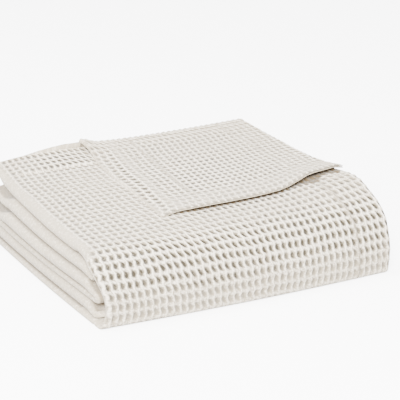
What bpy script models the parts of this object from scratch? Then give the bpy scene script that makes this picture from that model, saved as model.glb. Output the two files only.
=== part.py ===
# A folded cotton waffle blanket, lying on a flat surface.
#
# The blanket is one cloth. It is folded in half along its length, so that each layer of the stack is two
# plies joined by a soft fold at the left end and open, with the side hems together, at the right end. The
# doubled cloth then goes back and forth from front to back: eight inner turns, then under the stack, up
# around the front as one big rounded nose, back over the top, and forward again as a narrower flap.
# The top layer and the flap are pressed thinner towards the back.
#
# X runs along the width (right is +X), Y from the front to the back, Z up. Sizes are in metres.
# The shape is first laid out neat, with its front left bottom corner at the origin. Then its layers are
# pressed down to the heights of its uneven top, its sides are waved, and it is centred on its footprint.

import bmesh
import bpy
import math

import numpy as np

# Driving dimensions
WIDTH = 0.400
PLY = 0.0042
PLY_GAP = 0.0012
LAYER_COUNT = 10
THIN_PLY = 0.0024
FLAP_REST_GAP = 0.0020
THIN_FROM = 0.180
THIN_OVER = 0.150

# Worked out from the driving dimensions
PLY_PITCH = PLY + PLY_GAP
LAYER_PITCH = 2 * PLY_PITCH
LAYER_HALF = PLY + PLY_GAP / 2
THIN_HALF = THIN_PLY + PLY_GAP / 2
TOP_RADIUS = THIN_HALF + FLAP_REST_GAP / 2
STACK_TOP = LAYER_COUNT * LAYER_PITCH - PLY_GAP

# How finely each stretch is stepped
TURN_STEPS = 4
TOP_TURN_STEPS = 8
EDGE_STEPS = 6

# One row for each layer, from the one under the stack to the one over it. "left" is how far its folded
# end is set in, "puff" is how much of a layer's height the fold swells, up (+) or down (-), and "puffEnd"
# is where the swelling fades.
LAYERS = (
    {"left": -0.001, "puff": 0.0, "puffEnd": 0.340},
    {"left": 0.000, "puff": 1.0, "puffEnd": 0.340},
    {"left": 0.052, "puff": 0.0, "puffEnd": 0.340},
    {"left": 0.002, "puff": 0.0, "puffEnd": 0.340},
    {"left": 0.001, "puff": 1.0, "puffEnd": 0.290},
    {"left": 0.052, "puff": 0.0, "puffEnd": 0.340},
    {"left": 0.006, "puff": 1.0, "puffEnd": 0.285},
    {"left": 0.060, "puff": 0.0, "puffEnd": 0.340},
    {"left": 0.071, "puff": 0.0, "puffEnd": 0.340},
    {"left": 0.009, "puff": -1.0, "puffEnd": 0.330},
)
PUFF_FADE = 0.040
PUFF_RISE = 0.026
PUFF_REACH = 0.050

# Where the back and forth turns lie: the lower of the two layers that each turn joins, and its centre
BACK_TURNS = {0: 0.374, 2: 0.366, 4: 0.371, 6: 0.364}
FRONT_TURNS = {1: 0.0220, 3: 0.0250, 5: 0.0330, 7: 0.0580}
LOOSE_END = 0.362
TOP_TURN = 0.374

# The cloth around the front, from under the stack to the top: its middle, how far its folded end is set
# in there, how far that end swells towards the inner layers, its ply, and the steps to the next row
NOSE = (
    {"y": 0.0220, "z": 0.0048, "left": 0.0000, "puff": 0.0000, "ply": 0.0042, "steps": 1},
    {"y": 0.0110, "z": 0.0030, "left": 0.0000, "puff": 0.0000, "ply": 0.0024, "steps": 1},
    {"y": 0.0055, "z": 0.0030, "left": 0.0005, "puff": 0.0000, "ply": 0.0024, "steps": 1},
    {"y": 0.0022, "z": 0.0056, "left": 0.0020, "puff": 0.0000, "ply": 0.0024, "steps": 1},
    {"y": 0.0018, "z": 0.0120, "left": 0.0040, "puff": 0.0000, "ply": 0.0030, "steps": 1},
    {"y": 0.0028, "z": 0.0280, "left": 0.0060, "puff": 0.0000, "ply": 0.0042, "steps": 1},
    {"y": 0.0044, "z": 0.0440, "left": 0.0060, "puff": 0.0000, "ply": 0.0042, "steps": 1},
    {"y": 0.0082, "z": 0.0580, "left": 0.0055, "puff": 0.0000, "ply": 0.0042, "steps": 1},
    {"y": 0.0135, "z": 0.0725, "left": 0.0045, "puff": 0.0010, "ply": 0.0042, "steps": 2},
    {"y": 0.0190, "z": 0.0845, "left": 0.0040, "puff": 0.0060, "ply": 0.0042, "steps": 2},
    {"y": 0.0290, "z": 0.0940, "left": 0.0045, "puff": 0.0090, "ply": 0.0042, "steps": 2},
    {"y": 0.0420, "z": 0.1000, "left": 0.0065, "puff": 0.0090, "ply": 0.0042, "steps": 1},
    {"y": 0.0600, "z": 0.1020, "left": 0.0090, "puff": 0.0090, "ply": 0.0042, "steps": 1},
)

# Stations along a straight layer, as shares of its length from back to front
LAYER_STATIONS = (0.0, 0.09, 0.22, 0.40, 0.58, 0.76, 0.90, 1.0)
TOP_STATIONS = (0.0, 0.06, 0.13, 0.22, 0.33, 0.45, 0.57, 0.69, 0.80, 0.88, 0.95, 1.0)
FLAP_STATIONS = (0.06, 0.13, 0.24, 0.36, 0.48, 0.60, 0.71, 0.80, 0.87, 0.94, 1.0)

# The flap's left edge and its front edge, seen from above
FLAP_LEFT = (
    {"y": 0.095, "x": 0.1285},
    {"y": 0.130, "x": 0.1320},
    {"y": 0.180, "x": 0.1350},
    {"y": 0.240, "x": 0.1365},
    {"y": 0.310, "x": 0.1400},
    {"y": 0.350, "x": 0.1420},
    {"y": 0.380, "x": 0.1340},
)
FLAP_FRONT = (
    {"x": 0.125, "y": 0.1010},
    {"x": 0.180, "y": 0.0990},
    {"x": 0.236, "y": 0.0970},
    {"x": 0.295, "y": 0.0985},
    {"x": 0.333, "y": 0.1090},
    {"x": 0.368, "y": 0.1160},
    {"x": 0.410, "y": 0.1240},
)
FLAP_RIGHT = (
    {"y": 0.095, "x": 0.4060},
    {"y": 0.124, "x": 0.4020},
    {"y": 0.150, "x": 0.3965},
    {"y": 0.217, "x": 0.4015},
    {"y": 0.300, "x": 0.4070},
    {"y": 0.380, "x": 0.4010},
)

# Height of the top layer's upper side, by y down the rows and by x across them
TOP_X = (0.000, 0.100, 0.200, 0.300, 0.400)
TOP_HEIGHTS = (
    {"y": 0.000, "heights": (0.0785, 0.0785, 0.0785, 0.0785, 0.0800)},
    {"y": 0.050, "heights": (0.0820, 0.0830, 0.0850, 0.0870, 0.0955)},
    {"y": 0.075, "heights": (0.0835, 0.0852, 0.0880, 0.0925, 0.1060)},
    {"y": 0.100, "heights": (0.0845, 0.0868, 0.0910, 0.0960, 0.1085)},
    {"y": 0.160, "heights": (0.0870, 0.0895, 0.0930, 0.0970, 0.1040)},
    {"y": 0.220, "heights": (0.0910, 0.0940, 0.0950, 0.0975, 0.1025)},
    {"y": 0.300, "heights": (0.0965, 0.0990, 0.1005, 0.1035, 0.1070)},
    {"y": 0.340, "heights": (0.1010, 0.1045, 0.1045, 0.1070, 0.1110)},
    {"y": 0.380, "heights": (0.1075, 0.1135, 0.1105, 0.1125, 0.1165)},
)

# Places where the flap is lifted off the layer below
LIFTS = (
    {"x": 0.375, "y": 0.118, "reachX": 0.050, "reachY": 0.045, "height": 0.0020},
    {"x": 0.140, "y": 0.378, "reachX": 0.016, "reachY": 0.040, "height": 0.0060},
)

# Stations across the cloth. Where it is narrower, as in the flap, they are squeezed together and kept
# clear of its folded end. The blends are the last stations before that end, as shares of PUFF_REACH.
ACROSS = (0.400, 0.345, 0.280, 0.215, 0.150)
ACROSS_SQUEEZE = 0.2
ACROSS_CLEAR = 0.012
EDGE_BLEND = (0.90, 0.495)

# Waves of the folded side and of the hemmed side, and the front's bow, which fades towards the top
SIDE_WAVE = {"size": 0.0030, "start": 0.0, "deep": 2.6, "high": 5.0}
SIDE_BELLY = 0.005
HEM_WAVE = {"size": 0.0050, "start": -0.6, "deep": 3.1, "high": 2.2}
WAVE_FADE = 3
FRONT_BOW = 0.0055
BOW_FADE = 0.5

SLOPE_STEP = 0.002
SHARP_EDGE = 50


def clear_scene():
    for item in list(bpy.data.objects):
        bpy.data.objects.remove(item)


def ease(value):
    """Smooth step from 0 to 1."""
    share = min(max(value, 0.0), 1.0)
    return share * share * (3 - 2 * share)


def read_table(rows, key, result, value):
    """Value of a short table's column on a smooth curve through its rows."""
    keys = [row[key] for row in rows]
    values = [row[result] for row in rows]
    value = min(max(value, keys[0]), keys[-1])
    index = max(place for place in range(len(rows) - 1) if keys[place] <= value)
    slopes = [(values[place + 1] - values[place]) / (keys[place + 1] - keys[place])
              for place in range(len(rows) - 1)]
    slopes = [slopes[0]] + slopes + [slopes[-1]]
    start_slope = (slopes[index] + slopes[index + 1]) / 2
    end_slope = (slopes[index + 1] + slopes[index + 2]) / 2
    span = keys[index + 1] - keys[index]
    t = (value - keys[index]) / span
    return (values[index] * (1 + 2 * t) * (1 - t) ** 2 + values[index + 1] * t * t * (3 - 2 * t)
            + span * (start_slope * t * (1 - t) ** 2 - end_slope * t * t * (1 - t)))


def layer_middle(index):
    return LAYER_HALF + index * LAYER_PITCH


def add_bumps(rows, x, y):
    """Sum of a table's round bumps at a place seen from above."""
    total = 0.0
    for row in rows:
        reach = ((x - row["x"]) / row["reachX"]) ** 2 + ((y - row["y"]) / row["reachY"]) ** 2
        total += row["height"] * math.exp(-reach)
    return total


def over_ply(y):
    """Thickness of the plies in the top layer, which is pressed thinner towards the back."""
    return PLY + (THIN_PLY - PLY) * ease((y - THIN_FROM) / THIN_OVER)


def over_height(y):
    """Middle of the top layer, which rests on the layer below."""
    return (LAYER_COUNT - 1) * LAYER_PITCH + over_ply(y) + PLY_GAP / 2


def puff_share(index, y, front):
    """How far a layer's folded end is swollen at y, from 0 to 1."""
    row = LAYERS[index]
    fade = 1 - ease((y - row["puffEnd"]) / PUFF_FADE)
    rise = ease((y - front) / PUFF_RISE)
    return abs(row["puff"]) * fade * rise


def nose_points():
    """Rows of y, z, left, puff and ply along a smooth curve through the nose's table."""
    rows = [np.array([row["y"], row["z"], row["left"], row["puff"], row["ply"]]) for row in NOSE]
    knots = [2 * rows[0] - rows[1]] + rows + [2 * rows[-1] - rows[-2]]
    points = []
    for index, row in enumerate(NOSE[:-1]):
        first, second, third, fourth = knots[index:index + 4]
        for part in range(row["steps"]):
            t = part / row["steps"]
            points.append(0.5 * (2 * second + (third - first) * t
                                 + (2 * first - 5 * second + 4 * third - fourth) * t * t
                                 + (3 * second - first - 3 * third + fourth) * t ** 3))
    points.append(rows[-1])
    return points


def station(y, z, angle, left, puff=0.0, ply=PLY, flap=0.0):
    """A place on the path. The angle is the path's direction, 0 towards the back, 90 degrees up."""
    return {"y": y, "z": z, "angle": angle, "left": left, "puff": puff, "ply": ply, "flap": flap}


def straight(index, start, end, shares, front):
    """Stations of one layer between its two turns."""
    heads_back = end > start
    row = LAYERS[index]
    sign = math.copysign(1, row["puff"]) * (1 if heads_back else -1)
    stations = []
    for share in shares:
        y = start + (end - start) * share
        puff = sign * puff_share(index, y, front)
        stations.append(station(y, layer_middle(index), 0.0 if heads_back else math.pi, row["left"], puff))
    return stations


def turn(centre, from_z, to_z, at_back, left_from, left_to, steps=TURN_STEPS):
    """Stations inside a half turn between two layers, without its ends."""
    stations = []
    radius = abs(to_z - from_z) / 2
    rises = 1 if to_z > from_z else -1
    outward = 1 if at_back else -1
    for step in range(1, steps):
        share = step / steps
        swing = math.pi * share
        y = centre + outward * radius * math.sin(swing)
        z = (from_z + to_z) / 2 - rises * radius * math.cos(swing)
        angle = math.atan2(rises * math.sin(swing), outward * math.cos(swing))
        stations.append(station(y, z, angle, left_from + (left_to - left_from) * ease(share)))
    return stations


def over_middle(y):
    """Height and direction of the top layer's middle, straight at the back and sloping at the front."""
    points = nose_points()
    if y >= points[-1][0]:
        rise = over_height(y + SLOPE_STEP) - over_height(y - SLOPE_STEP)
        return over_height(y), math.atan2(rise, 2 * SLOPE_STEP)
    upper = [point for point in points if point[1] > STACK_TOP / 2]
    for before, after in zip(upper, upper[1:]):
        if before[0] <= y <= after[0]:
            share = (y - before[0]) / (after[0] - before[0])
            slope = math.atan2(after[1] - before[1], after[0] - before[0])
            return before[1] + (after[1] - before[1]) * share, slope
    return upper[0][1], 0.0


def build_path():
    """Stations along the whole cloth, from its inner end to the flap's hem."""
    path = []
    top = LAYER_COUNT - 1
    for index in range(top - 1, -1, -1):
        left = LAYERS[index]["left"]
        left_above = LAYERS[index + 1]["left"]
        if index % 2 == 1:
            front = FRONT_TURNS[index]
            path += turn(front, layer_middle(index + 1), layer_middle(index), False, left_above, left)
            path += straight(index, front, BACK_TURNS[index - 1], LAYER_STATIONS, front)
        else:
            back = BACK_TURNS.get(index, LOOSE_END)
            front = FRONT_TURNS.get(index - 1, NOSE[0]["y"])
            if index in BACK_TURNS:
                path += turn(back, layer_middle(index + 1), layer_middle(index), True, left_above, left)
            path += straight(index, back, front, LAYER_STATIONS, front)
    path += nose_path()
    path += over_path()
    path += flap_path()
    return path


def nose_path():
    """Stations around the front, between the lowest layer and the top one."""
    stations = []
    points = nose_points()
    for before, here, after in zip(points, points[1:], points[2:]):
        angle = math.atan2(after[1] - before[1], after[0] - before[0])
        y, z, left, puff, ply = here
        stations.append(station(y, z, angle, left, -max(puff, 0.0) / LAYER_PITCH, ply))
    return stations


def over_path():
    """Stations back along the top, and the turn into the flap."""
    stations = []
    left = LAYERS[-1]["left"]
    start = NOSE[-1]["y"]
    for share in TOP_STATIONS:
        y = start + (TOP_TURN - start) * share
        height, slope = over_middle(y)
        puff = NOSE[-1]["puff"] / LAYER_PITCH if share == 0 else puff_share(LAYER_COUNT - 1, y, start)
        stations.append(station(y, height, slope, left, -puff, over_ply(y)))
    height = over_height(TOP_TURN)
    top_turn = turn(TOP_TURN, height, height + 2 * TOP_RADIUS, True, left, left, TOP_TURN_STEPS)
    for step, place in enumerate(top_turn, 1):
        place.update(ply=THIN_PLY, flap=ease(step / TOP_TURN_STEPS))
        stations.append(place)
    return stations


def flap_path():
    """Stations along the flap. Their y is a share of its length until its hem's shape is known."""
    left = LAYERS[-1]["left"]
    return [station(share, 0.0, math.pi, left, 0.0, THIN_PLY, flap=1.0)
            for share in (0.0,) + FLAP_STATIONS]


def cloth_profile(place):
    """Closed outline of the doubled cloth at a station, as (x, offset from the path) pairs."""
    ply = place["ply"]
    half = (ply + PLY_GAP) / 2
    left = place["left"]
    if place["flap"] > 0:
        flap_y = place["y"] if place["flap"] < 1 else flap_place(place["y"], WIDTH / 2)[0]
        left += (read_table(FLAP_LEFT, "y", "x", flap_y) - left) * place["flap"]
    swell = abs(place["puff"]) * LAYER_PITCH
    up = half + (swell if place["puff"] > 0 else 0.0)
    down = -half - (swell if place["puff"] < 0 else 0.0)
    radius = (up - down) / 2
    fold_x = left + ply / 2 + radius
    reach = left + ply / 2 + PUFF_REACH
    across = [max(x, reach + (x - ACROSS[-1]) * ACROSS_SQUEEZE + ACROSS_CLEAR) for x in ACROSS]
    across += [fold_x + (reach - fold_x) * blend for blend in EDGE_BLEND]
    swollen = [ease((reach - x) / (reach - fold_x)) for x in across]
    middle = [(x, half + (up - half) * share) for x, share in zip(across, swollen)]
    for step in range(EDGE_STEPS + 1):
        angle = math.pi / 2 + math.pi * step / EDGE_STEPS
        middle.append((fold_x + radius * math.cos(angle), (up + down) / 2 + radius * math.sin(angle)))
    back = [(x, -half + (down + half) * share) for x, share in zip(across, swollen)]
    middle = np.array(middle + back[::-1])
    ahead = np.vstack([middle[1:], 2 * middle[-1] - middle[-2]])
    behind = np.vstack([2 * middle[0] - middle[1], middle[:-1]])
    along = ahead - behind
    along /= np.linalg.norm(along, axis=1)[:, None]
    outward = np.stack([-along[:, 1], along[:, 0]], axis=1) * ply / 2
    return np.vstack([middle - outward, (middle + outward)[::-1]])


def top_height(x, y):
    """Height of the top layer's upper side at a place seen from above."""
    heights = [read_table([{"y": row["y"], "height": row["heights"][column]} for row in TOP_HEIGHTS],
                          "y", "height", y) for column in range(len(TOP_X))]
    return read_table([{"x": place, "height": height} for place, height in zip(TOP_X, heights)],
                      "x", "height", x)


def wave(row, depth, height):
    return row["size"] * math.sin(row["start"] + row["deep"] * depth + row["high"] * height)


def ease_shape(x, y, z):
    """Turns the neat stack into a used one. Its underside stays flat."""
    height = z / STACK_TOP
    depth = y / TOP_TURN
    share = min(max(x / WIDTH, 0.0), 1.0)
    folded = wave(SIDE_WAVE, depth, height) - SIDE_BELLY * math.sin(math.pi * depth)
    hemmed = wave(HEM_WAVE, depth, height)
    bow = FRONT_BOW * math.sin(math.pi * share) * (1 - depth) * (1 - BOW_FADE * height)
    new_x = x + folded * (1 - share) ** WAVE_FADE + hemmed * share ** WAVE_FADE
    return new_x, y - bow, height * top_height(x, y)


def flap_place(share, x):
    """Where the flap's middle lies at a share of its length, from the back turn to its hem."""
    hem = read_table(FLAP_FRONT, "x", "y", x)
    y = TOP_TURN + (hem - TOP_TURN) * share
    height, slope = over_middle(y)
    return y, height, slope, over_ply(y) + PLY_GAP / 2 + FLAP_REST_GAP + THIN_HALF


def cloth_ring(place):
    """The cloth's outline at one station, as points in space."""
    ring = []
    for x, offset in cloth_profile(place):
        if place["flap"] >= 1:
            y, height, slope, lifted = flap_place(place["y"], x)
            spread = (read_table(FLAP_RIGHT, "y", "x", y) - WIDTH) / (WIDTH - FLAP_LEFT[0]["x"])
            x += spread * max(x - FLAP_LEFT[0]["x"], 0.0)
            out = lifted - offset + add_bumps(LIFTS, x, y)
            point = (x, y - math.sin(slope) * out, height + math.cos(slope) * out)
        else:
            point = (x, place["y"] - math.sin(place["angle"]) * offset,
                     place["z"] + math.cos(place["angle"]) * offset)
        ring.append(ease_shape(*point))
    return ring


def build_blanket():
    """One closed body: the cloth's outline carried along its path, with a cap at each end."""
    rings = [cloth_ring(place) for place in build_path()]
    points = np.array(rings)
    low = points.reshape(-1, 3).min(axis=0)
    high = points.reshape(-1, 3).max(axis=0)
    points -= np.array([(low[0] + high[0]) / 2, (low[1] + high[1]) / 2, low[2]])
    mesh = bmesh.new()
    count = len(rings[0])
    rows = [[mesh.verts.new(point) for point in ring] for ring in points]
    for before, after in zip(rows, rows[1:]):
        for index in range(count):
            follow = (index + 1) % count
            mesh.faces.new((before[index], before[follow], after[follow], after[index]))
    half = count // 2
    for row in (rows[0], rows[-1]):
        for index in range(half - 1):
            mesh.faces.new((row[index], row[index + 1], row[count - 2 - index], row[count - 1 - index]))
    bmesh.ops.recalc_face_normals(mesh, faces=mesh.faces)
    data = bpy.data.meshes.new("blanket")
    mesh.to_mesh(data)
    mesh.free()
    data.shade_smooth()
    data.set_sharp_from_angle(angle=math.radians(SHARP_EDGE))
    blanket = bpy.data.objects.new("blanket", data)
    blanket.data.materials.append(cotton_material())
    return blanket


def cotton_material():
    material = bpy.data.materials.new("ivory cotton")
    material.use_nodes = True
    shader = material.node_tree.nodes["Principled BSDF"]
    shader.inputs["Base Color"].default_value = (0.80, 0.77, 0.71, 1)
    shader.inputs["Roughness"].default_value = 0.95
    shader.inputs["Metallic"].default_value = 0.0
    return material


def main():
    clear_scene()
    parts = bpy.data.collections.new("folded blanket")
    bpy.context.scene.collection.children.link(parts)
    parts.objects.link(build_blanket())


main()
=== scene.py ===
import math

import bmesh
import bpy
import numpy as np
from mathutils import Matrix, Vector


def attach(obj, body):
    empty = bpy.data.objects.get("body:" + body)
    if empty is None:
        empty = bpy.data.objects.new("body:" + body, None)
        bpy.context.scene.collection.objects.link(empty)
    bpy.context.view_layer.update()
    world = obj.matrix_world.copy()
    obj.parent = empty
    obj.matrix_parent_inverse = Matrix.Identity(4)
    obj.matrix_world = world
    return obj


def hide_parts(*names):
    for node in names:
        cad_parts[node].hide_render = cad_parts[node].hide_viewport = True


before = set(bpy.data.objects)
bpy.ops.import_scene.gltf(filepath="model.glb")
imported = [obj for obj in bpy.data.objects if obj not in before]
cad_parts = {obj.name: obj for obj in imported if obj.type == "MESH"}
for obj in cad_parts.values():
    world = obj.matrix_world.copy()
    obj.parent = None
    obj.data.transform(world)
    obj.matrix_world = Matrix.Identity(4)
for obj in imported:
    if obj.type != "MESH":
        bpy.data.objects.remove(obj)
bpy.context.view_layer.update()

print("frame loaded")

# The cloth: one blanket, folded in half along its length (soft fold at the left, hems at the right),
# then back and forth. Metres, neat stack first, with its front left bottom corner at the origin.
cloth = {
    "width": 0.400,
    "ply": 0.0042,
    "thinPly": 0.0024,          # the top layer and the flap are pressed thinner at the back
    "plyGap": 0.0012,
    "restGap": 0.0020,          # between the flap and the layer below
    "thinFrom": 0.180,
    "thinOver": 0.150,
    "layerCount": 10,
    "puffFade": 0.040,          # how fast a swollen fold ends, begins, and how far it reaches in
    "puffRise": 0.026,
    "puffReach": 0.050,
    "topTurn": 0.374,           # where the top layer turns back as the flap
    "looseEnd": 0.362,
    "centre": (0.19947, 0.18868, 0.0),      # of the finished stack's footprint
}
weave = {
    "across": 0.0090,           # one waffle cell
    "along": 0.0128,
    "noseDepth": 0.0029,
    "topDepth": 0.0018,
    "flapDepth": 0.0015,
    "ribLift": 0.0003,
    "wander": 0.09,             # the ribs sway from row to row
    "slant": 0.30,              # the cross ribs lean a little within each cell
}
pitch = 2 * (cloth["ply"] + cloth["plyGap"])
layerHalf = cloth["ply"] + cloth["plyGap"] / 2
thinHalf = cloth["thinPly"] + cloth["plyGap"] / 2
topRadius = thinHalf + cloth["restGap"] / 2
stackTop = cloth["layerCount"] * pitch - cloth["plyGap"]

# left: how far a layer's folded end is set in; puff: how far it swells, up or down; until: where that fades
layerRows = (
    {"left": -0.001, "puff": 0.0, "until": 0.340},
    {"left": 0.000, "puff": 1.0, "until": 0.340},
    {"left": 0.052, "puff": 0.0, "until": 0.340},
    {"left": 0.002, "puff": 0.0, "until": 0.340},
    {"left": 0.001, "puff": 1.0, "until": 0.290},
    {"left": 0.052, "puff": 0.0, "until": 0.340},
    {"left": 0.006, "puff": 1.0, "until": 0.285},
    {"left": 0.060, "puff": 0.0, "until": 0.340},
    {"left": 0.071, "puff": 0.0, "until": 0.340},
    {"left": 0.009, "puff": -1.0, "until": 0.330},
)
backTurns = {0: 0.374, 2: 0.366, 4: 0.371, 6: 0.364}
frontTurns = {1: 0.0220, 3: 0.0250, 5: 0.0330, 7: 0.0580}

# y, z, left, puff, ply around the rounded front
noseRows = (
    (0.0220, 0.0048, 0.0000, 0.0000, 0.0042),
    (0.0110, 0.0030, 0.0000, 0.0000, 0.0024),
    (0.0055, 0.0030, 0.0005, 0.0000, 0.0024),
    (0.0022, 0.0056, 0.0020, 0.0000, 0.0024),
    (0.0018, 0.0120, 0.0040, 0.0000, 0.0030),
    (0.0028, 0.0280, 0.0060, 0.0000, 0.0042),
    (0.0044, 0.0440, 0.0060, 0.0000, 0.0042),
    (0.0082, 0.0580, 0.0055, 0.0000, 0.0042),
    (0.0135, 0.0725, 0.0045, 0.0010, 0.0042),
    (0.0190, 0.0845, 0.0040, 0.0060, 0.0042),
    (0.0290, 0.0940, 0.0045, 0.0090, 0.0042),
    (0.0420, 0.1000, 0.0065, 0.0090, 0.0042),
    (0.0600, 0.1020, 0.0090, 0.0090, 0.0042),
)

# Height of the top, by y down the rows and by x across them
topX = (0.000, 0.100, 0.200, 0.300, 0.400)
topRows = (
    (0.000, (0.0785, 0.0785, 0.0785, 0.0785, 0.0800)),
    (0.050, (0.0820, 0.0830, 0.0850, 0.0870, 0.0955)),
    (0.075, (0.0835, 0.0852, 0.0880, 0.0925, 0.1060)),
    (0.100, (0.0845, 0.0868, 0.0910, 0.0960, 0.1085)),
    (0.160, (0.0870, 0.0895, 0.0930, 0.0970, 0.1040)),
    (0.220, (0.0910, 0.0940, 0.0950, 0.0975, 0.1025)),
    (0.300, (0.0965, 0.0990, 0.1005, 0.1035, 0.1070)),
    (0.340, (0.1010, 0.1045, 0.1045, 0.1070, 0.1110)),
    (0.380, (0.1075, 0.1135, 0.1105, 0.1125, 0.1165)),
)

# The flap's edges seen from above
flapLeft = ((0.095, 0.130, 0.180, 0.240, 0.310, 0.350, 0.380),
            (0.1285, 0.1320, 0.1350, 0.1365, 0.1400, 0.1420, 0.1340))
flapFront = ((0.125, 0.180, 0.236, 0.295, 0.333, 0.368, 0.410),
             (0.1010, 0.0990, 0.0970, 0.0985, 0.1090, 0.1160, 0.1240))
flapRight = ((0.095, 0.124, 0.150, 0.217, 0.300, 0.380),
             (0.4080, 0.4055, 0.3975, 0.4015, 0.4070, 0.4010))
flapLifts = (
    {"x": 0.370, "y": 0.125, "reachX": 0.050, "reachY": 0.045, "height": 0.0014},
    {"x": 0.347, "y": 0.106, "reachX": 0.019, "reachY": 0.018, "height": 0.0030},
    {"x": 0.392, "y": 0.118, "reachX": 0.012, "reachY": 0.018, "height": 0.0014},
    {"x": 0.412, "y": 0.114, "reachX": 0.026, "reachY": 0.045, "height": -0.0058},
    {"x": 0.140, "y": 0.378, "reachX": 0.016, "reachY": 0.040, "height": 0.0060},
)
sway = {
    "side": (0.0030, 0.0, 2.6, 5.0),       # size, start, per depth, per height
    "hem": (0.0040, -0.6, 3.1, 2.2),
    "belly": 0.005,
    "bow": 0.0055,
}
# The flap is set here, because its edges also place its stations
flap = {
    "columnStep": weave["across"] / 9,
    "fineUntil": 0.190,
    "foldSteps": 18,
    "front": 0.098,
    "hemPly": 0.0016,           # its front hem is pressed thin
    "hemOver": (0.80, 0.20),
    "roll": 0.0052,             # how far its folded left edge rounds down, over what width, and until where
    "rollOver": 0.024,
    "rollUntil": (0.330, 0.035),
    "seamReach": 0.0024,
    "rightSeam": 0.355,         # stitch lines and a row of open cells, by y and x
    "leftSeam": ((0.170, 0.311), (0.194, 0.208)),
    "holeRow": ((0.149, 0.368), (0.144, 0.168)),
    "pits": 0.86,               # how dark the painted shade in its pits is
}
hemEdge = {"round": 0.62, "roundOut": 0.0006, "endOut": 0.0009}

# What a station's row holds; turned is its share of the top turn, onFlap its share of the flap
column = {"y": 0, "z": 1, "angle": 2, "left": 3, "puff": 4, "ply": 5, "turned": 6, "onFlap": 7}


def ease(value):
    share = np.clip(value, 0.0, 1.0)
    return share * share * (3 - 2 * share)


def rise(value, start, over):
    # 0 before the start, 1 from the start plus the width on
    return ease((value - start) / over)


def hump(value, centre, reach):
    return np.exp(-((value - centre) / reach) ** 2)


def dashes(along):
    # stitches, one to a cell
    return 0.5 + 0.5 * np.cos(2 * math.pi * along)


def smoothTable(keys, values, at):
    # a smooth curve through the rows of a short table
    at = np.clip(np.asarray(at, dtype=float), keys[0], keys[-1])
    keys = np.array(keys, dtype=float)
    values = np.array([np.broadcast_to(value, at.shape) for value in values])
    spans = np.diff(keys)
    slopes = np.diff(values, axis=0) / spans.reshape((-1,) + (1,) * at.ndim)
    slopes = np.concatenate([slopes[:1], slopes, slopes[-1:]])
    knots = (slopes[:-1] + slopes[1:]) / 2
    index = np.clip(np.searchsorted(keys, at, side="right") - 1, 0, len(keys) - 2)

    def pick(rows, step):
        return np.take_along_axis(rows, (index + step)[None], axis=0)[0]

    span = spans[index]
    t = (at - keys[index]) / span
    return (pick(values, 0) * (1 + 2 * t) * (1 - t) ** 2 + pick(values, 1) * t * t * (3 - 2 * t)
            + span * (pick(knots, 0) * t * (1 - t) ** 2 - pick(knots, 1) * t * t * (1 - t)))


def topHeight(x, y):
    rowY = [row[0] for row in topRows]
    columns = [smoothTable(rowY, heights, y) for heights in zip(*[row[1] for row in topRows])]
    return smoothTable(topX, columns, x)


def easeShape(x, y, z):
    # turns the neat stack into a used one; its underside stays flat
    height = z / stackTop
    depth = y / cloth["topTurn"]
    share = np.clip(x / cloth["width"], 0.0, 1.0)

    def wave(size, start, deep, high):
        return size * np.sin(start + deep * depth + high * height)

    folded = wave(*sway["side"]) - sway["belly"] * np.sin(math.pi * depth)
    hemmed = wave(*sway["hem"])
    bow = sway["bow"] * np.sin(math.pi * share) * (1 - depth) * (1 - 0.5 * height)
    newX = x + folded * (1 - share) ** 3 + hemmed * share ** 3
    return np.stack([newX, y - bow, height * topHeight(x, y)], axis=-1)


def middle(index):
    return layerHalf + index * pitch


def overPly(y):
    return cloth["ply"] + (cloth["thinPly"] - cloth["ply"]) * rise(y, cloth["thinFrom"], cloth["thinOver"])


def puffShare(index, y, front):
    row = layerRows[index]
    fade = 1 - rise(y, row["until"], cloth["puffFade"])
    return abs(row["puff"]) * fade * rise(y, front, cloth["puffRise"])


def straightRows(index, start, end, front, step):
    y = np.linspace(start, end, max(int(abs(end - start) / step), 2))
    back = end > start
    row = layerRows[index]
    sign = math.copysign(1, row["puff"]) * (1 if back else -1)
    puff = sign * puffShare(index, y, front)
    same = np.ones_like(y)
    return np.stack([y, same * middle(index), same * (0.0 if back else math.pi), same * row["left"],
                     puff, same * cloth["ply"], same * 0, same * 0], axis=1)


def turnRows(centre, lowZ, highZ, atBack, leftFrom, leftTo, ply, step):
    # a half turn between two layers, without its ends
    radius = abs(highZ - lowZ) / 2
    count = max(int(math.pi * radius / step), 6)
    share = np.arange(1, count) / count
    rises = 1 if highZ > lowZ else -1
    outward = 1 if atBack else -1
    swing = math.pi * share
    y = centre + outward * radius * np.sin(swing)
    z = (lowZ + highZ) / 2 - rises * radius * np.cos(swing)
    angle = np.arctan2(rises * np.sin(swing), outward * np.cos(swing))
    left = leftFrom + (leftTo - leftFrom) * ease(share)
    same = np.ones_like(y)
    return np.stack([y, z, angle, left, same * 0, same * ply, share, same * 0], axis=1)


def noseCurve(steps):
    rows = np.array(noseRows)
    knots = np.vstack([2 * rows[0] - rows[1], rows, 2 * rows[-1] - rows[-2]])
    t = (np.arange(steps) / steps)[:, None]
    curve = []
    for first, second, third, fourth in zip(knots, knots[1:], knots[2:], knots[3:]):
        curve.append(0.5 * (2 * second + (third - first) * t
                            + (2 * first - 5 * second + 4 * third - fourth) * t * t
                            + (3 * second - first - 3 * third + fourth) * t ** 3))
    return np.vstack(curve + [rows[-1:]])


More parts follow.
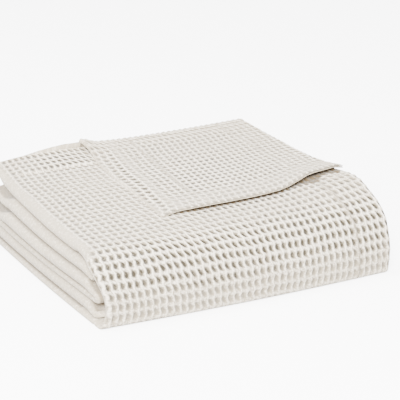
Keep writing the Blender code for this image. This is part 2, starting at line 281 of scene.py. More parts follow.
# Middle height of the top layer: the nose's upper part, then the stack's top, with the join smoothed
nose = noseCurve(24)
overEnd = 0.384
upper = nose[nose[:, 1] > stackTop / 2]
upper = upper[np.argmax(np.diff(upper[:, 0]) > 0):]
levelY = np.linspace(upper[-1, 0], overEnd, 400)
overY = np.concatenate([upper[:-1, 0], levelY])
overZ = np.concatenate([upper[:-1, 1],
                        (cloth["layerCount"] - 1) * pitch + overPly(levelY) + cloth["plyGap"] / 2])
blend = rise(overY, 0.045, 0.030)
averaged = np.convolve(np.pad(overZ, 6, mode="edge"), np.ones(13) / 13, mode="valid")
overZ = averaged * blend + overZ * (1 - blend)
overSlope = np.arctan(np.gradient(overZ, overY))


def overMiddle(y):
    return np.interp(y, overY, overZ), np.interp(y, overY, overSlope)


def noseStations():
    y, z, left, puff, ply = nose.T
    angle = np.unwrap(np.arctan2(np.gradient(z), np.gradient(y)))
    angle += 2 * math.pi * np.round((math.pi / 2 - np.median(angle)) / (2 * math.pi))
    rows = np.stack([y, z, angle, left, -np.maximum(puff, 0) / pitch, ply, y * 0, y * 0], axis=1)
    return rows[1:-1]


def overStations(step):
    start = nose[-1, 0]
    y = np.linspace(start, cloth["topTurn"], int((cloth["topTurn"] - start) / step))
    z, slope = overMiddle(y)
    left = layerRows[-1]["left"]
    swell = puffShare(len(layerRows) - 1, y, start)
    startPuff = nose[-1, 3] / pitch
    puff = -np.maximum(swell, startPuff * (1 - rise(y, start, 0.03)))
    return np.stack([y, z, slope, y * 0 + left, puff, overPly(y), y * 0, y * 0], axis=1)


def topTurnRows(step):
    height = float(overMiddle(cloth["topTurn"])[0])
    left = layerRows[-1]["left"]
    return turnRows(cloth["topTurn"], height, height + 2 * topRadius, True, left, left, cloth["thinPly"], step)


def innerStations(step, turnStep=0.0016):
    rows = []
    top = cloth["layerCount"] - 1
    for index in range(top - 1, -1, -1):
        left = layerRows[index]["left"]
        above = layerRows[index + 1]["left"]
        if index % 2 == 1:
            front = frontTurns[index]
            rows.append(turnRows(front, middle(index + 1), middle(index), False, above, left,
                                 cloth["ply"], turnStep))
            rows.append(straightRows(index, front, backTurns[index - 1], front, step))
        else:
            back = backTurns.get(index, cloth["looseEnd"])
            front = frontTurns.get(index - 1, noseRows[0][0])
            if index in backTurns:
                rows.append(turnRows(back, middle(index + 1), middle(index), True, above, left,
                                     cloth["ply"], turnStep))
            rows.append(straightRows(index, back, front, front, step))
    rows = np.vstack(rows)
    rows[:, column["turned"]] = 0
    return rows


def openGap(ply):
    # the gap between a layer's two plies closes as they thin
    return cloth["plyGap"] * min(1.0, ply / cloth["thinPly"])


def section(row, columns, foldSteps, underColumns):
    # middle line of the doubled cloth at a station: x, offset from the path, outward normal, way around
    left, puff, ply = (row[column[name]] for name in ("left", "puff", "ply"))
    half = (ply + openGap(ply)) / 2
    swell = abs(puff) * pitch
    up = half + (swell if puff > 0 else 0.0)
    down = -half - (swell if puff < 0 else 0.0)
    radius = (up - down) / 2
    foldX = left + ply / 2 + radius
    reach = left + ply / 2 + cloth["puffReach"]

    def side(x, edge, rest):
        share = ease((reach - x) / (reach - foldX))
        return rest + (edge - rest) * share

    x = columns(foldX, reach)
    under = underColumns(foldX, reach)
    angle = math.pi / 2 + math.pi * (np.arange(foldSteps + 1) / foldSteps)
    lineX = np.concatenate([x, foldX + radius * np.cos(angle), under])
    line = np.concatenate([side(x, up, half), (up + down) / 2 + radius * np.sin(angle),
                           side(under, down, -half)])
    ahead = np.append(lineX[1:], 2 * lineX[-1] - lineX[-2]), np.append(line[1:], 2 * line[-1] - line[-2])
    behind = np.append(2 * lineX[0] - lineX[1], lineX[:-1]), np.append(2 * line[0] - line[1], line[:-1])
    alongX, along = ahead[0] - behind[0], ahead[1] - behind[1]
    size = np.hypot(alongX, along)
    walked = np.concatenate([[0], np.cumsum(np.hypot(np.diff(lineX), np.diff(line)))])
    around = lineX[0] - walked
    return lineX, line, along / size, -alongX / size, around


def flapPlace(share, x):
    hem = smoothTable(flapFront[0], flapFront[1], x)
    y = cloth["topTurn"] + (hem - cloth["topTurn"]) * share
    height, slope = overMiddle(y)
    return y, height, slope, overPly(y) + cloth["plyGap"] / 2 + cloth["restGap"] + thinHalf


def addBumps(rows, x, y):
    total = 0.0
    for row in rows:
        reach = ((x - row["x"]) / row["reachX"]) ** 2 + ((y - row["y"]) / row["reachY"]) ** 2
        total = total + row["height"] * np.exp(-reach)
    return total


def placeLine(row, x, offset):
    y, z, angle = row[:3]
    onFlap, ply = row[column["onFlap"]], row[column["ply"]]
    if onFlap <= 0 and row[column["turned"]] < 1:
        return easeShape(x, y - math.sin(angle) * offset, z + math.cos(angle) * offset)
    flapY, height, slope, lifted = flapPlace(onFlap, x)
    foot = flapLeft[1][0]
    spread = (smoothTable(flapRight[0], flapRight[1], flapY) - cloth["width"]) / (cloth["width"] - foot)
    x = x + spread * np.maximum(x - foot, 0.0)
    lifted = lifted + thinHalf - (ply + openGap(ply) / 2)      # a thinner hem keeps its upper side
    fromEdge = x - smoothTable(flapLeft[0], flapLeft[1], flapY)
    sink = flap["roll"] * (1 - ease(fromEdge / flap["rollOver"])) * (1 - rise(flapY, *flap["rollUntil"]))
    out = lifted - offset + addBumps(flapLifts, x, flapY) - sink * min(onFlap * 30, 1.0)
    return easeShape(x, flapY - np.sin(slope) * out, height + np.cos(slope) * out)


def resample(rows, spacing, side):
    # even steps along the cloth's outer side, measured at the middle of its width
    rows = rows.copy()
    rows[:, column["angle"]] = np.unwrap(rows[:, column["angle"]])
    halfway = np.array([cloth["width"] / 2])
    outer = np.array([placeLine(row, halfway, np.array([side * row[column["ply"]]]))[0] for row in rows])
    walked = np.concatenate([[0], np.cumsum(np.linalg.norm(np.diff(outer, axis=0), axis=1))])
    marks = [0.0]
    while marks[-1] < walked[-1]:
        y = np.interp(marks[-1], walked, rows[:, column["y"]])
        marks.append(marks[-1] + spacing(y))
    marks = np.array(marks[:-1] + [walked[-1]])
    if marks[-1] - marks[-2] < 0.0004:      # no sliver at the end
        marks = np.delete(marks, -2)
    return np.stack([np.interp(marks, walked, values) for values in rows.T], axis=1), marks


cellRandom = np.random.default_rng(7).random((97, 89))


def cellNoise(across, along):
    return cellRandom[np.floor(along).astype(int) % 97, np.floor(across).astype(int) % 89]


def waffle(across, along):
    # 0 on the ribs, 1 in the middle of a pit; and the thin ribs that run along the cloth
    deep = 0.85 + 0.25 * cellNoise(across, along)
    along = along + weave["slant"] * (across % 1 - 0.5)
    a = np.abs(2 * (across % 1) - 1)
    b = np.abs(2 * (along % 1) - 1)
    tear = 1.28 + 0.6 * (along % 1 - 0.5)       # a pit narrows towards its upper end
    pit = ease((1.0 - (a * tear) ** 1.8 - (b * 1.08) ** 1.8) / 0.90)
    return pit * deep, rise(a, 0.62, 0.30)


def buildSheet(name, rows, marks, columns, foldSteps, underColumns, reliefAt, fineInner, hemEnd):
    sections = [section(row, columns, foldSteps, underColumns) for row in rows]
    halfPly = rows[:, column["ply"]] / 2

    def placeSide(side):
        return np.array([placeLine(row, part[0] + part[2] * half * side, part[1] + part[3] * half * side)
                         for row, part, half in zip(rows, sections, halfPly)])

    outer, core, inner = placeSide(1), placeSide(0), placeSide(-1)
    around = np.array([part[4] for part in sections])
    neatX = np.array([part[0] for part in sections])
    normal = np.cross(np.gradient(outer, axis=0), np.gradient(outer, axis=1))
    normal /= np.linalg.norm(normal, axis=2)[:, :, None] + 1e-12
    normal *= np.sign(np.sum(normal * (outer - inner), axis=2))[:, :, None]

    # the weave's own coordinates: whole numbers are ribs
    across = around / weave["across"]
    along = np.repeat((marks / weave["along"])[:, None], around.shape[1], axis=1)
    depth, lift, bulge, strength, shade = reliefAt(neatX, outer, rows, along)
    bent = along + 0.05 * np.sin(neatX * 31 + along * 0.7) + 0.04 * np.sin(neatX * 83 - along * 0.31)
    bentAcross = (across + 0.06 * np.sin(along * 0.83 + neatX * 19)
                  + weave["wander"] * np.sin(2 * math.pi * along + neatX * 23))
    pit, rib = waffle(bentAcross, bent)
    outer = outer + normal * (bulge + lift * rib - depth * pit)[:, :, None]

    # each ring runs along the outer side, around the right hem, and back along the inner side
    keep = np.arange(neatX.shape[1])
    if not fineInner:
        count = neatX.shape[1] - foldSteps - 1 - len(underColumns(0.01, 0.06))
        keep = np.concatenate([np.arange(0, count, 12), np.arange(count, neatX.shape[1], 2)])
        keep = np.unique(np.append(keep, neatX.shape[1] - 1))
    back = keep[::-1]
    hemOut = np.array([hemEdge["endOut"], 0, 0])
    quiet = np.full((len(rows), len(keep)), 0.15)

    def join(front, end, behind, start):
        return np.concatenate([front, end, behind, start], axis=1)

    ring = join(outer, core[:, -1:] + hemOut, inner[:, back], core[:, :1] + hemOut)
    ringU = join(bentAcross, bentAcross[:, -1:], bentAcross[:, back], bentAcross[:, :1])
    ringV = join(bent, bent[:, -1:], bent[:, back], bent[:, :1])
    ringRelief = join(strength, strength[:, -1:], quiet, strength[:, :1])
    ringShade = join(shade, shade[:, -1:], quiet * 0, shade[:, :1])
    if hemEnd:
        # the plies' front edges are rounded and closed
        last = core[-1:]
        middleRing = join(last, last[:, -1:] + hemOut, last[:, back], last[:, :1] + hemOut)[0]
        forward = core[-1:] - core[-2:-1]
        forward /= np.linalg.norm(forward, axis=2)[:, :, None]
        forward = join(forward, forward[:, -1:], forward[:, back], forward[:, :1])[0]
        rounded = middleRing + (ring[-1] - middleRing) * hemEdge["round"] + forward * hemEdge["roundOut"]
        closed = middleRing + forward * hemEdge["endOut"]
        ring = np.concatenate([ring, rounded[None], closed[None]])
        ringU = np.concatenate([ringU, ringU[-1:], ringU[-1:]])
        ringV = np.concatenate([ringV, ringV[-1:] + 0.05, ringV[-1:] + 0.1])
        ringRelief = np.concatenate([ringRelief, ringRelief[-1:], ringRelief[-1:]])
        ringShade = np.concatenate([ringShade, ringShade[-1:], ringShade[-1:]])
    return makePiece(name, ring - np.array(cloth["centre"]), ringU, ringV, ringRelief, ringShade)


def makePiece(name, ring, ringU, ringV, ringRelief, ringShade):
    rowCount, ringCount = ring.shape[:2]
    mesh = bmesh.new()
    bmesh.ops.create_grid(mesh, x_segments=ringCount, y_segments=rowCount - 1, size=1.0)
    mesh.verts.ensure_lookup_table()
    reliefLayer = mesh.verts.layers.float.new("reliefAndShade")
    shadeLayer = mesh.verts.layers.float.new("shade")
    uvLayer = mesh.loops.layers.uv.new("weave")
    places = ring.tolist()
    reliefs = ringRelief.tolist()
    shades = ringShade.tolist()
    order = {}
    for index, vert in enumerate(mesh.verts):
        line, place = divmod(index, ringCount + 1)
        vert.co = places[line][place % ringCount]
        vert[reliefLayer] = reliefs[line][place % ringCount]
        vert[shadeLayer] = shades[line][place % ringCount]
        order[vert] = (line, place)
    us = np.concatenate([ringU, ringU[:, :1]], axis=1).tolist()
    vs = np.concatenate([ringV, ringV[:, :1]], axis=1).tolist()
    for face in mesh.faces:
        for loop in face.loops:
            line, place = order[loop.vert]
            loop[uvLayer].uv = (us[line][place], vs[line][place])
    bmesh.ops.remove_doubles(mesh, verts=mesh.verts, dist=1e-7)
    openEdges = [edge for edge in mesh.edges if edge.is_boundary]
    caps = bmesh.ops.holes_fill(mesh, edges=openEdges, sides=0)["faces"]
    bmesh.ops.recalc_face_normals(mesh, faces=mesh.faces)
    for face in mesh.faces:
        face.smooth = True
    for face in caps:
        for edge in face.edges:
            edge.smooth = False
    data = bpy.data.meshes.new(name)
    mesh.to_mesh(data)
    mesh.free()
    piece = bpy.data.objects.new(name, data)
    bpy.context.scene.collection.objects.link(piece)
    print(name, len(data.polygons), "faces")
    return piece


finish = {
    "cloth": (0.410, 0.345, 0.248, 1),
    "paleCloth": (0.480, 0.410, 0.305, 1),
    "slopeShade": (0.250, 0.205, 0.138, 1),     # painted shade on the slopes between ribs and pits
    # rib: painted highlight on the ribs
    "rib": (0.900, 0.815, 0.670, 1),
    # pit: painted shade in the pits
    "pit": (0.040, 0.031, 0.016, 1),
    "stitchesAndShade": (0.120, 0.080, 0.035, 1),    # painted shade where plies meet, under the flap and in the crease; also dark stitch dashes
    "speckle": (2.2, -1.12),                # size of the fine and the coarse unevenness, and its middle
    "blobs": (1.4, -0.66),
    "cellChance": (0.26, 0.62),
    "patchChance": 0.60,
    "bumpStrength": 0.6,
    "bumpDepth": 0.0006,
}


def cottonMaterial():
    material = bpy.data.materials.new("ivory waffle cotton")
    material.use_nodes = True
    nodes = material.node_tree.nodes
    links = material.node_tree.links
    shader = nodes["Principled BSDF"]
    shader.inputs["Roughness"].default_value = 0.92
    shader.inputs["Specular IOR Level"].default_value = 0.25
    shader.inputs["Sheen Weight"].default_value = 0.20
    shader.inputs["Sheen Roughness"].default_value = 0.60

    def plug(socket, value):
        if isinstance(value, (int, float, tuple)):
            socket.default_value = value
        else:
            links.new(value, socket)

    def mathNode(operation, *values, clamp=False):
        node = nodes.new("ShaderNodeMath")
        node.operation = operation
        node.use_clamp = clamp
        for socket, value in zip(node.inputs, values):
            plug(socket, value)
        return node.outputs[0]

    def ramp(value, low, high):
        node = nodes.new("ShaderNodeMapRange")
        node.interpolation_type = "SMOOTHSTEP"
        plug(node.inputs["Value"], value)
        node.inputs["From Min"].default_value = low
        node.inputs["From Max"].default_value = high
        return node.outputs["Result"]

    def mixColours(amount, first, second):
        node = nodes.new("ShaderNodeMix")
        node.data_type = "RGBA"
        plug(node.inputs[0], amount)
        plug(node.inputs[6], first)     # the colour sockets
        plug(node.inputs[7], second)
        return node.outputs[2]

    def readAttribute(name):
        node = nodes.new("ShaderNodeAttribute")
        node.attribute_name = name
        return node.outputs["Fac"]

    uv = nodes.new("ShaderNodeUVMap")
    uv.uv_map = "weave"
    weaveUv = uv.outputs["UV"]
    split = nodes.new("ShaderNodeSeparateXYZ")
    links.new(weaveUv, split.inputs[0])
    across, along = split.outputs["X"], split.outputs["Y"]
    reliefAndShade = readAttribute("reliefAndShade")

    def noise(vector, scale, detail):
        node = nodes.new("ShaderNodeTexNoise")
        links.new(vector, node.inputs["Vector"])
        node.inputs["Scale"].default_value = scale
        node.inputs["Detail"].default_value = detail
        return node.outputs["Fac"]

    # ribs lie at whole numbers of the weave's own coordinates, pits between them
    slanted = mathNode("MULTIPLY_ADD", mathNode("FRACT", across), weave["slant"], -weave["slant"] / 2)
    slanted = mathNode("ADD", along, slanted)
    a = mathNode("MULTIPLY", mathNode("PINGPONG", across, 0.5), 2)
    b = mathNode("MULTIPLY", mathNode("PINGPONG", slanted, 0.5), 2)
    tear = mathNode("MULTIPLY_ADD", mathNode("FRACT", slanted), 0.7, 1.0)
    farA = mathNode("POWER", mathNode("MULTIPLY", mathNode("SUBTRACT", 1, a), tear), 1.8)
    farB = mathNode("POWER", mathNode("MULTIPLY", mathNode("SUBTRACT", 1, b), 1.12), 1.8)
    pit = ramp(mathNode("SUBTRACT", mathNode("SUBTRACT", 1, farA), farB), 0.0, 0.85)
    rib = mathNode("SUBTRACT", 1, ramp(a, 0.10, 0.34))
    crossRib = mathNode("SUBTRACT", 1, ramp(b, 0.15, 0.50))

    # each cell is a little different
    cell = nodes.new("ShaderNodeVectorMath")
    cell.operation = "FLOOR"
    links.new(weaveUv, cell.inputs[0])
    chance = nodes.new("ShaderNodeTexWhiteNoise")
    chance.noise_dimensions = "2D"
    links.new(cell.outputs["Vector"], chance.inputs["Vector"])

    stretch = nodes.new("ShaderNodeMapping")
    stretch.inputs["Scale"].default_value = (4.0, 6.0, 1.0)
    links.new(weaveUv, stretch.inputs["Vector"])
    speckle = noise(stretch.outputs["Vector"], 1.0, 3.0)
    patches = noise(weaveUv, 0.35, 2.0)
    blobs = noise(weaveUv, 2.3, 2.0)
    grain = mathNode("ADD", mathNode("MULTIPLY_ADD", speckle, *finish["speckle"]),
                     mathNode("MULTIPLY_ADD", blobs, *finish["blobs"]))

    # painted highlight: the ribs are coloured lighter than the rest of the cloth, more so where the relief is
    # strong
    ribHighlightAmount = mathNode("MULTIPLY_ADD", ramp(reliefAndShade, 0.55, 1.10), 0.42, 0.58)
    ribHighlightAmount = mathNode("MULTIPLY", ribHighlightAmount, ramp(reliefAndShade, 0.0, 0.45))
    ribHighlight = mathNode("MAXIMUM", rib, mathNode("MULTIPLY", crossRib, 0.55))
    ribHighlight = mathNode("ADD", mathNode("MULTIPLY", ribHighlight, ribHighlightAmount), grain, clamp=True)
    uneven = mathNode("MULTIPLY_ADD", chance.outputs["Value"], *finish["cellChance"])
    uneven = mathNode("MULTIPLY_ADD", patches, finish["patchChance"], uneven)
    # painted shade in the pits, as strong as the reliefAndShade attribute says
    pitShade = mathNode("MULTIPLY", pit, mathNode("MULTIPLY", reliefAndShade, uneven))
    pitShade = mathNode("MULTIPLY", pitShade, mathNode("MULTIPLY_ADD", grain, 0.7, 0.94), clamp=True)
    slope = mathNode("MULTIPLY", mathNode("SUBTRACT", 1, ribHighlight), reliefAndShade, clamp=True)

    base = mixColours(patches, finish["cloth"], finish["paleCloth"])
    # painted shade: the slopes between ribs and pits are darkened in colour
    base = mixColours(mathNode("MULTIPLY", slope, 0.8), base, finish["slopeShade"])
    # painted highlight on the ribs
    base = mixColours(ribHighlight, base, finish["rib"])
    # painted shade in the pits
    base = mixColours(pitShade, base, finish["pit"])
    # painted shade in gaps, under the flap, in the crease and grooves, and the dark stitch dashes
    base = mixColours(readAttribute("shade"), base, finish["stitchesAndShade"])
    links.new(base, shader.inputs["Base Color"])

    # threads, speckle and pits in the bump
    threadsAcross = mathNode("SINE", mathNode("MULTIPLY", across, 2 * math.pi * 9))
    threadsAlong = mathNode("SINE", mathNode("MULTIPLY", along, 2 * math.pi * 12))
    threads = mathNode("MULTIPLY", mathNode("ADD", threadsAcross, threadsAlong), 0.12)
    height = mathNode("SUBTRACT", mathNode("ADD", threads, mathNode("MULTIPLY", speckle, 1.2)),
                      mathNode("MULTIPLY", pit, mathNode("MULTIPLY", reliefAndShade, 1.2)))
    bump = nodes.new("ShaderNodeBump")
    bump.inputs["Strength"].default_value = finish["bumpStrength"]
    bump.inputs["Distance"].default_value = finish["bumpDepth"]
    links.new(height, bump.inputs["Height"])
    links.new(bump.outputs["Normal"], shader.inputs["Normal"])
    return material


cotton = cottonMaterial()
print("cotton made")

# Nose and top layer
wrap = {
    "start": 0.060,             # under the stack, where the inner layers end
    "columnStep": weave["across"] / 6,
    "fineUntil": 0.0640,
    "edgeColumns": 32,
    "foldSteps": 18,
    "seam": 0.352,              # the side hem's stitch line
    "seamReach": 0.0024,
    "topFrom": (0.012, 0.055),  # where the nose ends and the top begins
    "topMargin": (0.008, 0.018),        # smooth strips along the left fold
    "noseMargin": (0.001, 0.003),
    "margins": (0.06, 0.94),
    # how dark the painted shade in the pits is, by place
    "pits": {"top": 0.72, "nose": 0.22, "upperNose": 0.24, "besideFlap": 0.55, "besidePeak": 0.80},
    "peak": ({"x": 0.105, "y": 0.345, "reachX": 0.035, "reachY": 0.022, "height": 1.0},),
    "footPaler": 0.50,
    # the crease near the back left corner, and the hollows under the flap's front edge
    "crease": {"from": (0.015, 0.030), "until": (0.125, 0.030),
               # paintedShade: how strong the painted shade in the crease is
               "step": 0.0022, "trough": 0.0014, "paintedShade": 0.60},
    "hollows": (
        {"x": 0.352, "y": 0.106, "reachX": 0.014, "reachY": 0.010, "height": -0.0030},
        {"x": 0.393, "y": 0.111, "reachX": 0.011, "reachY": 0.010, "height": -0.0026},
    ),
    # how far the painted shadow under the flap comes out in front of it: x, reach, distance
    "shadowReach": ((0.353, 0.011, 0.0125), (0.335, 0.012, 0.0030), (0.393, 0.010, 0.0105)),
}


def wrapColumns(foldX, reach):
    even = np.arange(cloth["width"], wrap["fineUntil"], -wrap["columnStep"])
    edge = np.linspace(wrap["fineUntil"], foldX, wrap["edgeColumns"] + 1)[:-1]
    return np.concatenate([even, edge])


def underColumns(foldX, reach):
    return np.concatenate([np.linspace(foldX, reach, 9)[1:], np.linspace(reach, cloth["width"], 15)[1:]])


# how many columns there are is the same at every station
topColumns = len(wrapColumns(0.01, 0.06))
lowColumns = len(underColumns(0.01, 0.06))


def wrapSpacing(y):
    return weave["along"] / (8 if y < 0.075 else 6)


def wrapRelief(neatX, outer, rows, along):
    y, height = outer[:, :, 1], outer[:, :, 2]
    onTop = rise(y, *wrap["topFrom"])
    onNose = 1 - onTop
    flapEdge = np.interp(neatX, *flapFront)
    fine = np.zeros_like(neatX)         # 1 where the mesh is fine enough for pits
    fine[:, :topColumns + 2] = 1.0
    aroundFold = slice(topColumns + 2, topColumns + 8)
    fine[:, aroundFold] = onNose[:, aroundFold]

    margin = wrap["margins"][0] + wrap["margins"][1] * (rise(neatX, *wrap["topMargin"]) * onTop
                                                        + rise(neatX, *wrap["noseMargin"]) * onNose)
    low = rise(height, -0.001, 0.010)
    seam = 1 - 0.75 * hump(neatX, wrap["seam"], wrap["seamReach"])
    thin = np.minimum(rows[:, column["ply"]][:, None] / cloth["ply"] + 0.25, 1.0)
    depth = weave["noseDepth"] + (weave["topDepth"] - weave["noseDepth"]) * onTop
    depth = depth * margin * low * seam * fine * thin

    pits = wrap["pits"]
    # the painted shade in the pits is stronger just in front of the flap's edge
    besideFlap = rise(neatX, 0.150, 0.020) * hump(y, flapEdge - 0.0045, 0.0050)
    upperNose = rise(height, 0.045, 0.035) * onNose
    paleFoot = 1 - wrap["footPaler"] * (1 - rise(height, 0.012, 0.040)) * onNose
    strength = (pits["top"] + pits["nose"] * onNose + pits["upperNose"] * upperNose
                + pits["besideFlap"] * besideFlap + pits["besidePeak"] * addBumps(wrap["peak"], neatX, y))
    strength = strength * margin * seam * paleFoot * (wrap["margins"][0] + wrap["margins"][1] * fine)

    # painted shadow under the flap, painted shade at the nose's left end and in the crease; dark dashes along
    # the hem's stitches
    shadowReach = sum(out * hump(neatX, x, reach) for x, reach, out in wrap["shadowReach"])
    # painted shadow under the flap's front edge
    under = rise(y, flapEdge - 0.0005 - shadowReach, 0.003)
    under = under * rise(neatX, 0.148, 0.006) * (1 - rise(y, 0.30, 0.03))
    stitches = (0.34 * hump(neatX, wrap["seam"], 0.0020)
                + 0.40 * hump(neatX, wrap["seam"], 0.0011) * dashes(along))
    # painted shade on the cell column at the nose's left end, beside the bright rib
    leftEndShade = 0.42 * hump(neatX, 0.0062, 0.0016) * onNose * rise(height, 0.012, 0.020)
    crease = wrap["crease"]
    creased = rise(neatX, *crease["from"]) * (1 - rise(neatX, *crease["until"])) * onTop
    # painted shade along the crease
    creaseShade = crease["paintedShade"] * creased * hump(neatX, 0.095, 0.035) * hump(y, 0.3212, 0.0022)
    shade = np.maximum.reduce([(0.95 - 4 * shadowReach) * under, stitches, leftEndShade, creaseShade])

    # the surface itself: the crease's step, the hollows, the rib at the left end, the dip under the flap
    step = crease["step"] * rise(y, 0.324, 0.005) * (1 - rise(y, 0.335, 0.040))
    bulge = creased * (step - crease["trough"] * hump(y, 0.3222, 0.0018)) + addBumps(wrap["hollows"], neatX, y)
    bulge = bulge + 0.0010 * hump(neatX, 0.0105, 0.0016) * onNose * low
    bulge = bulge - 0.0016 * rise(neatX, 0.150, 0.030) * hump(y, flapEdge + 0.003, 0.006)
    return depth, weave["ribLift"] * fine * margin * low, bulge * fine, strength, shade * fine


fineStep = 0.0005
turn = topTurnRows(0.0004)
turnLeft = turn[:, column["left"]]         # goes over to the flap's own left edge
edgeLeft = smoothTable(flapLeft[0], flapLeft[1], turn[:, column["y"]])
turnLeft += (edgeLeft - turnLeft) * ease(turn[:, column["turned"]])
turnMiddle = len(turn) // 2
noseFront = noseRows[0][0]
wrapPath = np.vstack([straightRows(0, wrap["start"], noseFront, noseFront, fineStep),
                      noseStations(), overStations(fineStep), turn[:turnMiddle + 1]])
wrapStations, wrapMarks = resample(wrapPath, wrapSpacing, 1.0)
wrapPiece = buildSheet("wrap", wrapStations, wrapMarks, wrapColumns, wrap["foldSteps"], underColumns,
                       wrapRelief, False, False)


# Flap: from the middle of the top turn to its front hem, its upper side outwards
def flapTopColumns(foldX, reach):
    even = np.arange(cloth["width"], flap["fineUntil"], -flap["columnStep"])
    edge = np.linspace(flap["fineUntil"], foldX, topColumns - len(even) + 1)[:-1]
    return np.concatenate([even, edge])[::-1]


def flapUnderColumns(foldX, reach):
    return underColumns(foldX, reach)[::-1]


def flapSpacing(y):
    return weave["along"] / 6


def flapRelief(neatX, outer, rows, along):
    y = outer[:, :, 1]
    onFlap = rows[:, column["onFlap"]][:, None]
    fine = np.zeros_like(neatX)
    fine[:, -topColumns - 4:] = 1.0
    start = rise(along, -0.1, 0.5)
    leftEdge = 0.35 + 0.65 * rise(neatX, rows[:, column["left"]][:, None] + 0.001, 0.004)
    zone = 1 - 0.20 * rise(y, 0.24, 0.05) + 0.22 * hump(neatX, 0.235, 0.05) * hump(y, 0.20, 0.06)
    hemZone = 1 - 0.40 * rise(onFlap, 0.84, 0.03)
    leftSeam = np.interp(y, *flap["leftSeam"])
    seams = ((1 - 0.75 * hump(neatX, flap["rightSeam"], flap["seamReach"]))
             * (1 - 0.75 * hump(neatX, leftSeam, flap["seamReach"])))
    holes = np.interp(y, *flap["holeRow"])
    holeRow = 1 + 0.5 * hump(neatX, holes, 0.0045) - 0.60 * hump(neatX, holes + 0.012, 0.0055)
    pattern = leftEdge * hemZone * seams * holeRow
    depth = weave["flapDepth"] * fine * start * pattern
    strength = flap["pits"] * zone * pattern * (0.3 + 0.7 * fine)

    # dark dashes along the stitches, and painted shade on the under side
    stitches = np.maximum(hump(neatX, leftSeam, 0.0017), 0.7 * hump(neatX, flap["rightSeam"], 0.0014))
    stitches = 0.70 * stitches * dashes(along) * start * (1 - rise(onFlap, 0.80, 0.03))
    shadedUnderside = np.zeros_like(neatX)
    shadedUnderside[:, :lowColumns + 6] = 1.0
    shade = np.maximum(stitches, 0.95 * shadedUnderside * rise(onFlap, 0.02, 0.10))
    return depth, weave["ribLift"] * fine * start, depth * 0, strength, shade


onFlap = np.linspace(0.0, 1.0, 600)
flat = np.zeros_like(onFlap)
flapLeftAt = smoothTable(flapLeft[0], flapLeft[1], flapPlace(onFlap, flat + cloth["width"] / 2)[0])
flapPly = cloth["thinPly"] + (flap["hemPly"] - cloth["thinPly"]) * rise(onFlap, *flap["hemOver"])
flapPath = np.stack([cloth["topTurn"] + (flap["front"] - cloth["topTurn"]) * onFlap, flat, flat + math.pi,
                     flapLeftAt, flat, flapPly, flat + 1, np.maximum(onFlap, 1e-6)], axis=1)
flapStations, flapMarks = resample(np.vstack([turn[turnMiddle:], flapPath]), flapSpacing, -1.0)
flapPiece = buildSheet("flap", flapStations, flapMarks, flapUnderColumns, flap["foldSteps"], flapTopColumns,
                       flapRelief, True, True)

# Inner layers
layers = {
    "step": 0.010,
    "foldSteps": 14,
    "foldColumns": 13,
    "flatColumns": 14,
    "pits": (0.06, 0.20),       # painted shade in the pits, at the folds, and added further in
    "pressed": 0.60,            # how dark the painted shade is in the grooves where the folds press together
}


def layerColumns(foldX, reach):
    return np.concatenate([np.linspace(cloth["width"], reach, layers["flatColumns"]),
                           np.linspace(reach, foldX, layers["foldColumns"])[1:-1]])


def layerUnder(foldX, reach):
    return np.concatenate([np.linspace(foldX, reach, layers["foldColumns"])[1:],
                           np.linspace(reach, cloth["width"], layers["flatColumns"])[1:]])


def layerRelief(neatX, outer, rows, along):
    # painted shade in the grooves where the folds press together above and below their rounded ends
    strength = layers["pits"][0] + layers["pits"][1] * rise(neatX, 0.03, 0.02)
    foldTip = np.argmin(neatX, axis=1)[:, None]
    fromTip = np.abs(np.arange(neatX.shape[1])[None, :] - foldTip)
    tipX = np.min(neatX, axis=1)[:, None]
    pressed = layers["pressed"] * rise(fromTip, 5.0, 2.0) * (1 - rise(neatX, tipX + 0.006, 0.010))
    return neatX * 0, 0.0, neatX * 0, strength, pressed


layerPath = innerStations(layers["step"])
nearEnd = np.arange(len(layerPath)) > len(layerPath) - 40
layerPath = layerPath[:np.argmax(nearEnd & (layerPath[:, column["y"]] < wrap["start"] + 0.002)) + 1]
layerPath[-1, column["y"]] = wrap["start"]      # the wrap goes on from there
layerPath[:, column["angle"]] = np.unwrap(layerPath[:, column["angle"]])
halfway = np.array([cloth["width"] / 2])
layerMiddle = np.array([placeLine(row, halfway, np.array([0.0]))[0] for row in layerPath])
layerMarks = np.concatenate([[0], np.cumsum(np.linalg.norm(np.diff(layerMiddle, axis=0), axis=1))])
layersPiece = buildSheet("layers", layerPath, layerMarks, layerColumns, layers["foldSteps"], layerUnder,
                         layerRelief, True, False)

print("lengths", wrapMarks[-1], flapMarks[-1], layerMarks[-1])

for piece in (wrapPiece, flapPiece, layersPiece):
    piece.data.materials.append(cotton)
    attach(piece, "root")
    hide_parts("blanket")

# Studio
studio = {
    "floor": (0.93, 0.93, 0.935, 1),
    "glow": 5.4,                # the floor reads as near white, as in a studio
    "sky": (1.0, 0.99, 0.975, 1),
    "skyStrength": 2.1,
    "lights": (
        {"name": "overhead", "place": (-0.4, 0.7, 2.2), "target": (0, 0, 0), "size": 1.0, "power": 62},
        {"name": "left", "place": (-2.2, 0.1, 0.8), "target": (0, 0, 0.05), "size": 1.6, "power": 30},
        {"name": "front", "place": (-1.4, -2.2, 1.6), "target": (0, 0, 0.05), "size": 1.0, "power": 400},
    ),
    "lens": 119.14,
    "elevation": 17.4562,
    "yaw": 28.1093,
    "distance": 1.9704,
    "target": (0.3307, 0.3787, 0.0025),     # in the neat stack's own place
}

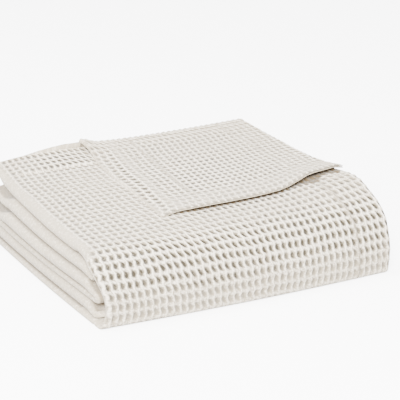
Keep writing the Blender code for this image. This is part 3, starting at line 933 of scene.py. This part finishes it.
floorMesh = bmesh.new()
bmesh.ops.create_grid(floorMesh, x_segments=2, y_segments=2, size=12.0)
floorData = bpy.data.meshes.new("floor")
floorMesh.to_mesh(floorData)
floorMesh.free()
floor = bpy.data.objects.new("floor", floorData)
bpy.context.scene.collection.objects.link(floor)
floorMaterial = bpy.data.materials.new("pale floor")
floorMaterial.use_nodes = True
floorShader = floorMaterial.node_tree.nodes["Principled BSDF"]
floorShader.inputs["Base Color"].default_value = studio["floor"]
floorShader.inputs["Roughness"].default_value = 1.0
floorShader.inputs["Emission Color"].default_value = studio["floor"]
floorShader.inputs["Emission Strength"].default_value = studio["glow"]
floorData.materials.append(floorMaterial)
floor.visible_diffuse = False       # its glow doesn't light the cloth

world = bpy.data.worlds.new("studio")
world.use_nodes = True
background = world.node_tree.nodes["Background"]
background.inputs["Color"].default_value = studio["sky"]
background.inputs["Strength"].default_value = studio["skyStrength"]
bpy.context.scene.world = world

for row in studio["lights"]:
    light = bpy.data.lights.new(row["name"], "AREA")
    light.shape = "SQUARE"
    light.size = row["size"]
    light.energy = row["power"]
    lamp = bpy.data.objects.new(row["name"], light)
    place = Vector(row["place"])
    facing = (Vector(row["target"]) - place).to_track_quat("-Z", "Y")
    lamp.matrix_world = Matrix.Translation(place) @ facing.to_matrix().to_4x4()
    bpy.context.scene.collection.objects.link(lamp)

elevation = math.radians(studio["elevation"])
yaw = math.radians(studio["yaw"])
level = math.cos(elevation)
forward = Vector((math.sin(yaw) * level, math.cos(yaw) * level, -math.sin(elevation)))
right = Vector((math.cos(yaw), -math.sin(yaw), 0))
up = right.cross(forward)
eye = Vector(studio["target"]) - Vector(cloth["centre"]) - forward * studio["distance"]
cameraData = bpy.data.cameras.new("camera")
cameraData.lens = studio["lens"]
cameraData.sensor_width = 36
cameraData.clip_end = 40
camera = bpy.data.objects.new("camera", cameraData)
camera.matrix_world = Matrix(((right.x, up.x, -forward.x, eye.x), (right.y, up.y, -forward.y, eye.y),
                              (right.z, up.z, -forward.z, eye.z), (0, 0, 0, 1)))
bpy.context.scene.collection.objects.link(camera)
bpy.context.scene.camera = camera

print("scene ready")
